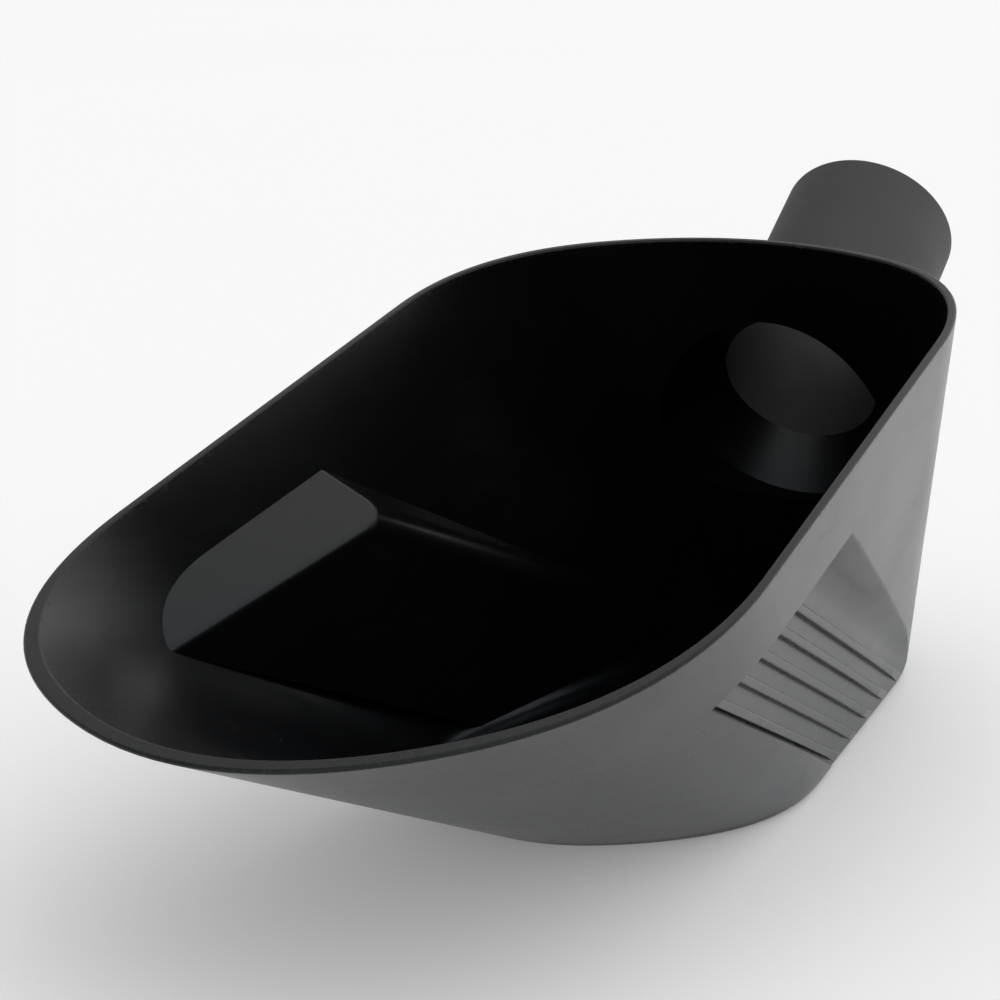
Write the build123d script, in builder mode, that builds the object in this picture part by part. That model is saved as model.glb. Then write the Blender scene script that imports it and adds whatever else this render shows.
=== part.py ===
"""Hand scoop for grain and beans: a deep moulded bowl with a hollow tube handle.

The bowl tapers from a broad front lip to a narrower leaning rear wall. A short round tube stands
square on that wall. It is the handle, and it is open at both ends, so the contents can also be
poured out through it. The rear wall flares into a neck where the tube meets it. Each side has a ribbed
grip that is let into the wall.

Frame: the origin is the middle of the flat base, on the surface that the scoop stands on.
+X is to the right, -Y is towards the front lip, +Y towards the handle and +Z is up. All in mm.
"""
import os
from math import cos, radians, sin

from build123d import *

# Walls
WALL = 2.8                  # at the foot of the walls and round the grips
RIM_WALL = 1.9              # the walls thin out to this at the rim's sides and back
RIM_LIP = 4.2               # the front lip is thicker
FLOOR = 3.0
RIM_ROUND = 0.5             # small round on both edges of the rim
BASE_ROUND = 5.0            # outside round between the walls and the flat base
FLOOR_ROUND = 7.0           # inside round between the walls and the floor

# Rim: a flat outline that slopes down towards the front lip
RIM_TILT = 14.5             # degrees
RIM_HEIGHT = 108.6          # height of the rim's plane above the origin
RIM = dict(
    half_front=70.1,        # half width at the front shoulders
    half_back=65.0,         # half width at the rear corners
    back=-1.2,              # where the rear corners lie along the outline's own length
    length=184.0,           # rear corners to front shoulders
    back_bulge=23.3,
    front_bulge=45.1,
    back_corner=31.5,       # how far each corner's curve reaches along its two sides
    front_corner=38.8,
)

# Base: the flat outline that the scoop stands on
BASE = dict(
    half_front=45.6,
    half_back=28.8,
    back=73.9,
    length=132.3,
    back_bulge=24.0,
    front_bulge=38.8,
    back_corner=25.0,
    front_corner=26.0,
)

# Tube handle, square on the rear wall, and the socket on the wall that holds it
TUBE_LEAN = 34.0            # degrees above the horizontal
TUBE_FOOT = (0.0, 32.4, 54.6)   # a point on the tube's axis
TUBE_RADIUS = 22.9
TUBE_BORE = 19.9
TUBE_TIP = 96.8             # from the foot point to the tube's open end
TUBE_SEAT = 36.0            # from the foot point to the shoulder that the tube stands on
TUBE_ROUND = 0.9
SPIGOT_RADIUS = 22.4        # the tube's outside where it goes into the socket
NECK_RADIUS = 33.5          # outside of the neck that stands on the rear wall round the mouth
NECK_END = 28.0             # from here on the neck narrows to the socket
NECK_TAPER = 7.5            # how far its cone reaches towards the tube
MOUTH_RADIUS = 30.5         # the hole in the rear wall
MOUTH_END = 25.4            # from here on it narrows to the tube's bore at the shoulder
SOCKET_RADIUS = 26.0
SOCKET_DEPTH = 9.0
SOCKET_GAP = 0.05           # glue gap round the spigot
SOCKET_ROUND = 1.0

# Ribbed grips: a flat panel let into each side, under a ledge that runs parallel to the rim
GRIP_FOOT = 37.6            # where the panel meets the ground, out from the middle, at Y = 0
GRIP_TAPER = 0.11           # the panel's foot comes in by this much for each mm to the rear
GRIP_LEAN = 3.6             # degrees: the panel's top is further out than its foot
LEDGE_DROP = 21.5           # square distance from the rim's plane down to the ledge
LEDGE_OUT = 61.0            # how far out from the middle it has this drop
LEDGE_PITCH = 38.2          # degrees: from the wall the ledge slopes down to the panel
GRIP_FRONT = -7.4           # the recess's front limit, measured square to the ribs
GRIP_REAR = 29.0            # its rear limit on the panel, measured in the same way
GRIP_REAR_DRAFT = 30.0      # degrees: from the panel outwards the rear end opens backwards
GRIP_CORNER = 7.0           # inside round where the recess's rear end meets the panel
GRIP_LEDGE_ROUND = 0.4      # inside round where the ledge meets the panel
GRIP_LIP = 0.8              # outside round along the ledge and along the recess's rear end
RECESS_REACH = 60.0         # size of the recess before it is trimmed: outwards, up and along
RECESS_HEIGHT = 120.0
RECESS_LENGTH = 500.0
RIB_COUNT = 5
RIB_SLOPE = 21.0            # degrees: the ribs and the recess's front end run back and down
RIB_FIRST = -4.9            # the lowest rib's middle, measured square to the ribs
RIB_PITCH = 6.34
RIB_WIDTH = 2.2
RIB_PROUD = 1.5
RIB_ROUND = 0.5
RIB_ROOT = 1.0              # how far the ribs run into the walls of the recess
RIB_FOOT = 3.5              # height at which the ribs' lower ends stop
RIB_LENGTH = 400.0          # before the ribs are trimmed
LIP_SEARCH = 0.05           # a lip's edge lies at most this far off its plane

RIM_PLANE = Plane(
    origin=(0, 0, RIM_HEIGHT),
    x_dir=(1, 0, 0),
    z_dir=(0, -sin(radians(RIM_TILT)), cos(radians(RIM_TILT))),
)
TUBE_AXIS = Vector(0, cos(radians(TUBE_LEAN)), sin(radians(TUBE_LEAN)))
LEDGE_PLANE = Plane(
    origin=RIM_PLANE.from_local_coords(Vector(LEDGE_OUT, 0, -LEDGE_DROP)),
    x_dir=RIM_PLANE.y_dir,
    z_dir=RIM_PLANE.z_dir * cos(radians(LEDGE_PITCH)) - RIM_PLANE.x_dir * sin(radians(LEDGE_PITCH)),
)


def tube_plane(distance):
    """The plane square to the tube's axis, at a distance along it from the foot point."""
    return Plane(origin=Vector(*TUBE_FOOT) + TUBE_AXIS * distance, x_dir=(1, 0, 0), z_dir=TUBE_AXIS)


def grip_plane(inset=0.0):
    """The right grip's panel: it tapers in to the rear and leans out at the top."""
    along = Vector(-GRIP_TAPER, 1, 0).normalized()
    level_normal = Vector(1, GRIP_TAPER, 0).normalized()
    lean = radians(GRIP_LEAN)
    normal = level_normal * cos(lean) - Vector(0, 0, 1) * sin(lean)
    return Plane(origin=Vector(GRIP_FOOT, 0, 0) - normal * inset, x_dir=along, z_dir=normal)


def meet(point_a, along_a, point_b, along_b):
    """Where two lines of a plane cross."""
    cross = along_a.X * along_b.Y - along_a.Y * along_b.X
    gap = point_b - point_a
    return point_a + along_a * ((gap.X * along_b.Y - gap.Y * along_b.X) / cross)


def bowl_outline(plane, half_front, half_back, back, length, back_bulge, front_bulge,
                 back_corner, front_corner, inset=0.0, front_inset=0.0):
    """A rounded trapezium with a bulging back and front, drawn on the plane.

    The bulges are parabolas, and each corner is a curve that is tangent to both of its sides.
    The insets draw the inside of a wall: one for the sides and the back, one for the front.
    """
    half_front = half_front - inset
    half_back = half_back - inset
    back_corner = back_corner - inset
    front_corner = front_corner - inset
    rear_corner = Vector(half_back, back - inset)
    front_shoulder = Vector(half_front, back - length + front_inset)
    side = (front_shoulder - rear_corner).normalized()

    back_x = half_back - back_corner
    back_drop = back_bulge * (back_x / half_back) ** 2
    back_end = Vector(back_x, rear_corner.Y + back_bulge - back_drop)
    back_tangent = Vector(back_x, -2 * back_drop)
    side_start = rear_corner + side * back_corner
    side_end = front_shoulder - side * front_corner
    front_x = half_front - front_corner
    front_rise = front_bulge * (front_x / half_front) ** 2
    front_end = Vector(front_x, front_shoulder.Y - front_bulge + front_rise)
    front_tangent = Vector(front_x, 2 * front_rise)

    with BuildSketch(plane) as outline:
        with BuildLine():
            Bezier(
                (-back_end.X, back_end.Y),
                (0, back_end.Y + 2 * back_drop),
                (back_end.X, back_end.Y),
            )
            rear_curve = Bezier(
                back_end, meet(back_end, back_tangent, side_start, side), side_start
            )
            side_line = Line(side_start, side_end)
            front_curve = Bezier(
                side_end, meet(front_end, front_tangent, side_end, side), front_end
            )
            Bezier(
                (front_end.X, front_end.Y),
                (0, front_end.Y - 2 * front_rise),
                (-front_end.X, front_end.Y),
            )
            mirror(rear_curve, about=Plane.YZ)
            mirror(side_line, about=Plane.YZ)
            mirror(front_curve, about=Plane.YZ)
        make_face()
    return outline.sketch


def slope_point(level):
    """A point on the grip panel's slope line at the level, measured square to the ribs."""
    return Vector(level * sin(radians(RIB_SLOPE)), level * cos(radians(RIB_SLOPE)))


def grip_rear_plane():
    """The recess's rear end: it meets the panel along a slope line and opens backwards."""
    panel = grip_plane()
    slope = radians(RIB_SLOPE)
    draft = radians(GRIP_REAR_DRAFT)
    across = panel.x_dir * sin(slope) + panel.y_dir * cos(slope)
    return Plane(
        origin=panel.from_local_coords(slope_point(GRIP_REAR)),
        x_dir=panel.x_dir * cos(slope) - panel.y_dir * sin(slope),
        z_dir=across * cos(draft) - panel.z_dir * sin(draft),
    )


def grip_recess(grow=0.0):
    """The space that the right grip takes out of the wall, grown by a margin on every side."""
    panel = grip_plane(inset=grow)
    ledge = LEDGE_PLANE.offset(grow)
    rear = grip_rear_plane().offset(grow)
    with BuildPart() as recess:
        with BuildSketch(panel):
            with Locations(slope_point(GRIP_FRONT - grow)):
                Rectangle(
                    RECESS_LENGTH,
                    RECESS_HEIGHT,
                    rotation=-RIB_SLOPE,
                    align=(Align.CENTER, Align.MIN),
                )
        extrude(amount=RECESS_REACH)
        split(bisect_by=ledge, keep=Keep.BOTTOM)
        split(bisect_by=rear, keep=Keep.BOTTOM)
        panel_face = recess.faces().sort_by(Axis(panel.origin, panel.z_dir))[0]
        rear_edge = panel_face.edges().sort_by(Axis(rear.origin, rear.z_dir))[-1]
        fillet(rear_edge, GRIP_CORNER + grow)
        panel_face = recess.faces().sort_by(Axis(panel.origin, panel.z_dir))[0]
        ledge_edge = panel_face.edges().sort_by(Axis(ledge.origin, ledge.z_dir))[-1]
        fillet(ledge_edge, GRIP_LEDGE_ROUND + grow)
    return recess.part


def recess_lip(body, plane):
    """The longest curved edge of the body that runs along the plane."""
    edges = body.edges().filter_by(GeomType.BSPLINE)
    edges = edges.filter_by(lambda edge: abs(plane.to_local_coords(edge.center()).Z) < LIP_SEARCH)
    return edges.sort_by(SortBy.LENGTH)[-1]


def grip_rib(level):
    """One rib of the right grip: a low bar that runs back and down across the panel."""
    panel = grip_plane()
    with BuildPart() as rib:
        with BuildSketch(panel.offset(-RIB_ROOT)):
            with Locations(slope_point(level)):
                Rectangle(RIB_LENGTH, RIB_WIDTH, rotation=-RIB_SLOPE)
        extrude(amount=RIB_ROOT + RIB_PROUD)
        crown = rib.faces().sort_by(Axis(panel.origin, panel.z_dir))[-1]
        fillet(crown.edges().sort_by(SortBy.LENGTH)[-2:], RIB_ROUND)
    return rib.part


# Inside of the bowl: the space it holds, less the bumps that the grips make in the wall
right_recess = grip_recess()
right_bump = grip_recess(grow=WALL)
with BuildPart() as core:
    add(bowl_outline(Plane.XY.offset(FLOOR), **BASE, inset=WALL, front_inset=WALL))
    add(bowl_outline(RIM_PLANE, **RIM, inset=RIM_WALL, front_inset=RIM_LIP))
    loft(ruled=True)
    fillet(core.edges().group_by(Axis.Z)[0], FLOOR_ROUND)
    add(right_bump, mode=Mode.SUBTRACT)
    add(mirror(right_bump, about=Plane.YZ, mode=Mode.PRIVATE), mode=Mode.SUBTRACT)

# Outside of the bowl, before the grips are let in
with BuildPart() as form:
    add(bowl_outline(Plane.XY, **BASE))
    add(bowl_outline(RIM_PLANE, **RIM))
    loft(ruled=True)
    fillet(form.edges().group_by(Axis.Z)[0], BASE_ROUND)

# Ribs of the right grip, trimmed to the bowl's outside and to the recess
with BuildPart() as right_ribs:
    for index in range(RIB_COUNT):
        add(grip_rib(RIB_FIRST + index * RIB_PITCH))
    add(form.part, mode=Mode.INTERSECT)
    add(grip_recess(grow=RIB_ROOT), mode=Mode.INTERSECT)
    split(bisect_by=Plane.XY.offset(RIB_FOOT), keep=Keep.TOP)

# Right half of the bowl, still solid, with its grip
with BuildPart() as right_half:
    add(form.part)
    add(right_recess, mode=Mode.SUBTRACT)
    split(bisect_by=Plane.YZ, keep=Keep.TOP)
    ledge_lip = recess_lip(right_half.part, LEDGE_PLANE)
    rear_lip = recess_lip(right_half.part, grip_rear_plane())
    fillet([ledge_lip, rear_lip], GRIP_LIP)
    add(right_ribs.part)

# The whole bowl: hollowed out, with the tube's socket and mouth
with BuildPart() as scoop_bowl:
    add(right_half.part)
    mirror(right_half.part, about=Plane.YZ)
    with BuildSketch(tube_plane(0)):
        Circle(NECK_RADIUS)
    extrude(amount=NECK_END)
    with BuildSketch(tube_plane(NECK_END)):
        Circle(NECK_RADIUS)
    with BuildSketch(tube_plane(NECK_END + NECK_TAPER)):
        Circle(SOCKET_RADIUS)
    loft()
    with BuildSketch(tube_plane(0)):
        Circle(SOCKET_RADIUS)
    extrude(amount=TUBE_SEAT + SOCKET_DEPTH)
    add(core.part, mode=Mode.SUBTRACT)
    with BuildSketch(tube_plane(TUBE_SEAT)):
        Circle(SPIGOT_RADIUS + SOCKET_GAP)
    extrude(amount=2 * SOCKET_DEPTH, mode=Mode.SUBTRACT)
    with BuildSketch(tube_plane(0)):
        Circle(MOUTH_RADIUS)
    extrude(amount=MOUTH_END, mode=Mode.SUBTRACT)
    with BuildSketch(tube_plane(MOUTH_END)):
        Circle(MOUTH_RADIUS)
    with BuildSketch(tube_plane(TUBE_SEAT)):
        Circle(TUBE_BORE)
    loft(mode=Mode.SUBTRACT)
    socket_face = scoop_bowl.faces().sort_by(Axis(tube_plane(0).origin, TUBE_AXIS))[-1]
    fillet(socket_face.outer_wire().edges(), SOCKET_ROUND)
    rim_face = scoop_bowl.faces().sort_by(Axis(RIM_PLANE.origin, RIM_PLANE.z_dir))[-1]
    fillet(rim_face.edges(), RIM_ROUND)

# The tube: its spigot fills the socket, and its shoulder stands on the socket's end
with BuildPart() as handle_tube:
    with BuildSketch(tube_plane(TUBE_SEAT)):
        Circle(SPIGOT_RADIUS)
    extrude(amount=SOCKET_DEPTH)
    with BuildSketch(tube_plane(TUBE_SEAT + SOCKET_DEPTH)):
        Circle(TUBE_RADIUS)
    extrude(amount=TUBE_TIP - TUBE_SEAT - SOCKET_DEPTH)
    with BuildSketch(tube_plane(TUBE_SEAT)):
        Circle(TUBE_BORE)
    extrude(amount=TUBE_TIP - TUBE_SEAT, mode=Mode.SUBTRACT)
    tip_face = handle_tube.faces().sort_by(Axis(tube_plane(0).origin, TUBE_AXIS))[-1]
    fillet(tip_face.edges(), TUBE_ROUND)

scoop_bowl.part.label = "scoop_bowl"
handle_tube.part.label = "handle_tube"

os.makedirs("parts", exist_ok=True)
export_step(scoop_bowl.part, "parts/scoop_bowl.step")
export_step(handle_tube.part, "parts/handle_tube.step")
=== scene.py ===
"""Looks of the hand scoop: moulded black plastic bowl, matt tube handle, pale floor, soft light."""

import math

import bpy
from mathutils import Matrix, Vector

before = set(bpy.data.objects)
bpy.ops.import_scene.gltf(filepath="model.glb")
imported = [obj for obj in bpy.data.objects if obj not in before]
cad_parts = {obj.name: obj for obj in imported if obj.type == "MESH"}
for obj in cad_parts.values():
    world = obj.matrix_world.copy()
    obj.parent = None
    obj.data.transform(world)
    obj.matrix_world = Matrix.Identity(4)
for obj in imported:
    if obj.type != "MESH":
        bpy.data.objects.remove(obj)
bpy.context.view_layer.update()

# Camera: its direction in degrees, and the rest in metres unless the name says otherwise
VIEW_AZIMUTH = 26.42
VIEW_ELEVATION = 11.57
VIEW_DISTANCE = 0.64107
LENS_MM = 96.4
AIM_RIGHT = -0.04877    # where the view's middle lies, from the frame's origin
AIM_UP = 0.05342

# Shape of the scoop that its finish follows, in metres and degrees
RIM_HEIGHT = 0.1086     # height of the rim's plane above the origin
RIM_TILT = 14.5

# Plastics, as linear colours
BOWL_BLACK = (0.0024, 0.0026, 0.0030)
BOWL_DUST = (0.016, 0.016, 0.0155)
BOWL_SCUFF = (0.040, 0.040, 0.039)
BOWL_SHEEN = (0.98, 1.0, 1.0)         # tint of the gloss
BOWL_PAINTED_COOL_REFLECTION = (0.62, 0.80, 1.0)     # painted reflection: near the ground the gloss is tinted cooler, bluish
TUBE_GREY = (0.033, 0.033, 0.0322)
TUBE_PALE = (0.045, 0.045, 0.0438)
TUBE_DARK = (0.022, 0.022, 0.0213)

# Bowl's gloss: the heights in metres between which its painted cooler reflection fades to the plain
# tint, its specular level in narrow corners, lowered there as painted shade, and on open surfaces,
# and how far a corner is looked for, in metres
PAINTED_REFLECTION_FROM = 0.0
PAINTED_REFLECTION_TO = 0.070
GLOSS_PAINTED_CORNER_SHADE = 0.09
GLOSS_OPEN = 0.28
PAINTED_SHADE_REACH = 0.0035

# Bowl's marks: how much of the dust and of the wear shows
DUST_AMOUNT = 0.25
WEAR_AMOUNT = 0.3

# Refractive indices
BOWL_IOR = 1.50
TUBE_IOR = 1.48

# Floor: linear colours, the strength of its own glow, and half its width in metres
FLOOR_LIGHT = (0.885, 0.885, 0.885)
FLOOR_LIGHTER = (0.890, 0.890, 0.890)
FLOOR_GLOW = 0.20
FLOOR_HALF = 30.0

# Soft light: strength on the left and on the right, and the X directions between which it changes
SKY_LEFT = 0.52
SKY_RIGHT = 1.06
SKY_LEFT_FROM = -0.60
SKY_LEFT_TO = 0.15


class Nodes:
    """A material's node tree, with short calls to add and join nodes."""

    def __init__(self, name):
        self.material = bpy.data.materials.new(name)
        self.material.use_nodes = True
        self.tree = self.material.node_tree
        self.shader = self.tree.nodes["Principled BSDF"]
        self.place = self.add("ShaderNodeTexCoord").outputs["Object"]

    def add(self, kind, **settings):
        node = self.tree.nodes.new(kind)
        for key, value in settings.items():
            setattr(node, key, value)
        return node

    def put(self, value, socket):
        """Sets a socket to a number or colour, or joins an output to it."""
        if isinstance(value, bpy.types.NodeSocket):
            self.tree.links.new(value, socket)
        else:
            socket.default_value = value

    def math(self, operation, first, second=0.0, clamp=False):
        node = self.add("ShaderNodeMath", operation=operation, use_clamp=clamp)
        self.put(first, node.inputs[0])
        self.put(second, node.inputs[1])
        return node.outputs[0]

    def noise(self, size, detail=2.0, roughness=0.5, stretch=(1, 1, 1)):
        """Noise from 0 to 1 with features of about the size, in metres."""
        mapping = self.add("ShaderNodeMapping")
        mapping.inputs["Scale"].default_value = [value / size for value in stretch]
        self.put(self.place, mapping.inputs["Vector"])
        node = self.add("ShaderNodeTexNoise")
        self.put(mapping.outputs[0], node.inputs["Vector"])
        node.inputs["Scale"].default_value = 1.0
        node.inputs["Detail"].default_value = detail
        node.inputs["Roughness"].default_value = roughness
        return node.outputs["Fac"]

    def ramp(self, value, low, high, out_low=0.0, out_high=1.0):
        """Maps a range of the value smoothly to another range."""
        node = self.add("ShaderNodeMapRange", interpolation_type="SMOOTHSTEP")
        self.put(value, node.inputs["Value"])
        node.inputs["From Min"].default_value = low
        node.inputs["From Max"].default_value = high
        node.inputs["To Min"].default_value = out_low
        node.inputs["To Max"].default_value = out_high
        return node.outputs["Result"]

    def mix(self, factor, first, second):
        node = self.add("ShaderNodeMix", data_type="RGBA")
        self.put(factor, node.inputs["Factor"])
        self.put(first, node.inputs["A"])
        self.put(second, node.inputs["B"])
        return node.outputs["Result"]

    def painted_corner_shade(self, reach):
        """Ambient occlusion for painted shade: 1 on open surfaces, less in narrow corners, looking
        as far as the reach, in metres.
        """
        node = self.add("ShaderNodeAmbientOcclusion", samples=8)
        node.inputs["Distance"].default_value = reach
        return node.outputs["AO"]

    def bump(self, height, strength, distance, under=None):
        node = self.add("ShaderNodeBump")
        self.put(height, node.inputs["Height"])
        node.inputs["Strength"].default_value = strength
        node.inputs["Distance"].default_value = distance
        if under is not None:
            self.put(under, node.inputs["Normal"])
        return node.outputs["Normal"]


def colour(rgb):
    return (*rgb, 1.0)


def bowl_plastic():
    """Black moulded plastic: a soft gloss, dimmed in corners as painted shade and tinted bluish
    near the ground as painted reflection; flow marks and scuffed edges.
    """
    n = Nodes("bowl_plastic")
    axes = n.add("ShaderNodeSeparateXYZ")
    n.put(n.place, axes.inputs[0])
    height = axes.outputs["Z"]
    tilt = math.tan(math.radians(RIM_TILT))
    rim_level = n.math("MULTIPLY_ADD", axes.outputs["Y"], tilt)
    rim_level.node.inputs[2].default_value = RIM_HEIGHT
    below_rim = n.math("SUBTRACT", rim_level, height)

    patches = n.noise(0.050, detail=2.0)
    specks = n.noise(0.0012, detail=4.0, roughness=0.65)
    streaks = n.noise(0.004, detail=4.0, roughness=0.6, stretch=(1.0, 0.12, 1.0))
    fine = n.noise(0.00035, detail=2.0)

    rim_wear = n.ramp(below_rim, 0.0004, 0.0020, 1.0, 0.0)
    base_wear = n.ramp(height, 0.0002, 0.0030, 1.0, 0.0)
    wear = n.math("ADD", rim_wear, base_wear, clamp=True)
    wear = n.math("MULTIPLY", wear, n.ramp(specks, 0.50, 0.72))
    dust = n.math("MULTIPLY", n.ramp(patches, 0.40, 0.80), n.ramp(streaks, 0.40, 0.85))
    dust = n.math("MULTIPLY", dust, DUST_AMOUNT)
    painted_corner_shade = n.painted_corner_shade(PAINTED_SHADE_REACH)

    finish = n.mix(dust, colour(BOWL_BLACK), colour(BOWL_DUST))
    finish = n.mix(n.math("MULTIPLY", wear, WEAR_AMOUNT), finish, colour(BOWL_SCUFF))
    n.put(finish, n.shader.inputs["Base Color"])

    gloss = n.ramp(patches, 0.3, 0.7, 0.24, 0.28)
    gloss = n.math("ADD", gloss, n.ramp(streaks, 0.45, 0.85, 0.0, 0.025))
    gloss = n.math("ADD", gloss, n.math("MULTIPLY", wear, 0.20))
    n.put(gloss, n.shader.inputs["Roughness"])
    # Painted shade: the specular level, and so the gloss, is lowered in narrow corners and creases
    level = n.ramp(painted_corner_shade, 0.30, 0.85, GLOSS_PAINTED_CORNER_SHADE, GLOSS_OPEN)
    n.put(level, n.shader.inputs["Specular IOR Level"])
    # Painted reflection: the gloss is tinted bluish near the ground and neutral higher up
    painted_reflection_fade = n.ramp(height, PAINTED_REFLECTION_FROM, PAINTED_REFLECTION_TO)
    tint = n.mix(painted_reflection_fade, colour(BOWL_PAINTED_COOL_REFLECTION), colour(BOWL_SHEEN))
    n.put(tint, n.shader.inputs["Specular Tint"])

    skin = n.bump(fine, 0.08, 0.00005)
    skin = n.bump(specks, 0.05, 0.00006, under=skin)
    skin = n.bump(patches, 0.10, 0.0006, under=skin)
    n.put(skin, n.shader.inputs["Normal"])
    n.shader.inputs["IOR"].default_value = BOWL_IOR
    return n.material


def tube_plastic():
    """Charcoal tube: matt, with a fine grain and faint patches."""
    n = Nodes("tube_plastic")
    patches = n.noise(0.018, detail=3.0)
    grain = n.noise(0.0007, detail=4.0, roughness=0.7)
    fine = n.noise(0.00025, detail=2.0)
    finish = n.mix(n.ramp(patches, 0.3, 0.7, 0.0, 0.5), colour(TUBE_GREY), colour(TUBE_PALE))
    finish = n.mix(n.ramp(grain, 0.35, 0.70, 0.0, 0.45), finish, colour(TUBE_DARK))
    n.put(finish, n.shader.inputs["Base Color"])
    n.put(n.ramp(patches, 0.3, 0.7, 0.52, 0.64), n.shader.inputs["Roughness"])
    skin = n.bump(fine, 0.25, 0.00008)
    skin = n.bump(grain, 0.30, 0.00014, under=skin)
    n.put(skin, n.shader.inputs["Normal"])
    n.shader.inputs["IOR"].default_value = TUBE_IOR
    return n.material


def floor_paint():
    """Nearly white, matt, with a very faint unevenness."""
    n = Nodes("floor_paint")
    patches = n.noise(2.5, detail=2.0)
    n.put(
        n.mix(n.ramp(patches, 0.3, 0.7), colour(FLOOR_LIGHT), colour(FLOOR_LIGHTER)),
        n.shader.inputs["Base Color"],
    )
    n.put(n.ramp(patches, 0.3, 0.7, 0.88, 0.94), n.shader.inputs["Roughness"])
    n.shader.inputs["Specular IOR Level"].default_value = 0.1
    n.shader.inputs["Emission Color"].default_value = colour(FLOOR_LIGHTER)
    n.shader.inputs["Emission Strength"].default_value = FLOOR_GLOW
    return n.material


def dress(node, material):
    """Gives every material slot of a CAD node the material."""
    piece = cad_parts[node]
    for slot in piece.material_slots:
        slot.material = material


def make_floor():
    mesh = bpy.data.meshes.new("floor")
    half = FLOOR_HALF
    corners = [(-half, -half, 0), (half, -half, 0), (half, half, 0), (-half, half, 0)]
    mesh.from_pydata(corners, [], [(0, 1, 2, 3)])
    floor = bpy.data.objects.new("floor", mesh)
    bpy.context.scene.collection.objects.link(floor)
    mesh.materials.append(floor_paint())


def make_camera():
    azimuth, elevation = math.radians(VIEW_AZIMUTH), math.radians(VIEW_ELEVATION)
    back = Vector(
        (
            math.sin(azimuth) * math.cos(elevation),
            -math.cos(azimuth) * math.cos(elevation),
            math.sin(elevation),
        )
    )
    right = Vector((math.cos(azimuth), math.sin(azimuth), 0))
    up = back.cross(right)
    aim = right * AIM_RIGHT + up * AIM_UP
    data = bpy.data.cameras.new("camera")
    data.sensor_width = 36.0
    data.lens = LENS_MM
    camera = bpy.data.objects.new("camera", data)
    camera.matrix_world = Matrix.Translation(aim + back * VIEW_DISTANCE) @ Matrix(
        (right, up, back)
    ).transposed().to_4x4()
    bpy.context.scene.collection.objects.link(camera)
    bpy.context.scene.camera = camera


def make_world():
    """Soft light from all round, dimmer from the left."""
    world = bpy.data.worlds.new("studio")
    world.use_nodes = True
    tree = world.node_tree
    background = tree.nodes["Background"]
    place = tree.nodes.new("ShaderNodeTexCoord")
    axes = tree.nodes.new("ShaderNodeSeparateXYZ")
    tree.links.new(place.outputs["Generated"], axes.inputs[0])
    side = tree.nodes.new("ShaderNodeMapRange")
    side.interpolation_type = "SMOOTHSTEP"
    tree.links.new(axes.outputs["X"], side.inputs["Value"])
    side.inputs["From Min"].default_value = SKY_LEFT_FROM
    side.inputs["From Max"].default_value = SKY_LEFT_TO
    side.inputs["To Min"].default_value = SKY_LEFT
    side.inputs["To Max"].default_value = SKY_RIGHT
    tree.links.new(side.outputs["Result"], background.inputs["Strength"])
    background.inputs["Color"].default_value = (1.0, 1.0, 1.0, 1.0)
    bpy.context.scene.world = world


def main():
    dress("scoop_bowl", bowl_plastic())
    dress("handle_tube", tube_plastic())
    make_floor()
    make_camera()
    make_world()
    bpy.context.scene.view_settings.view_transform = "Standard"


main()
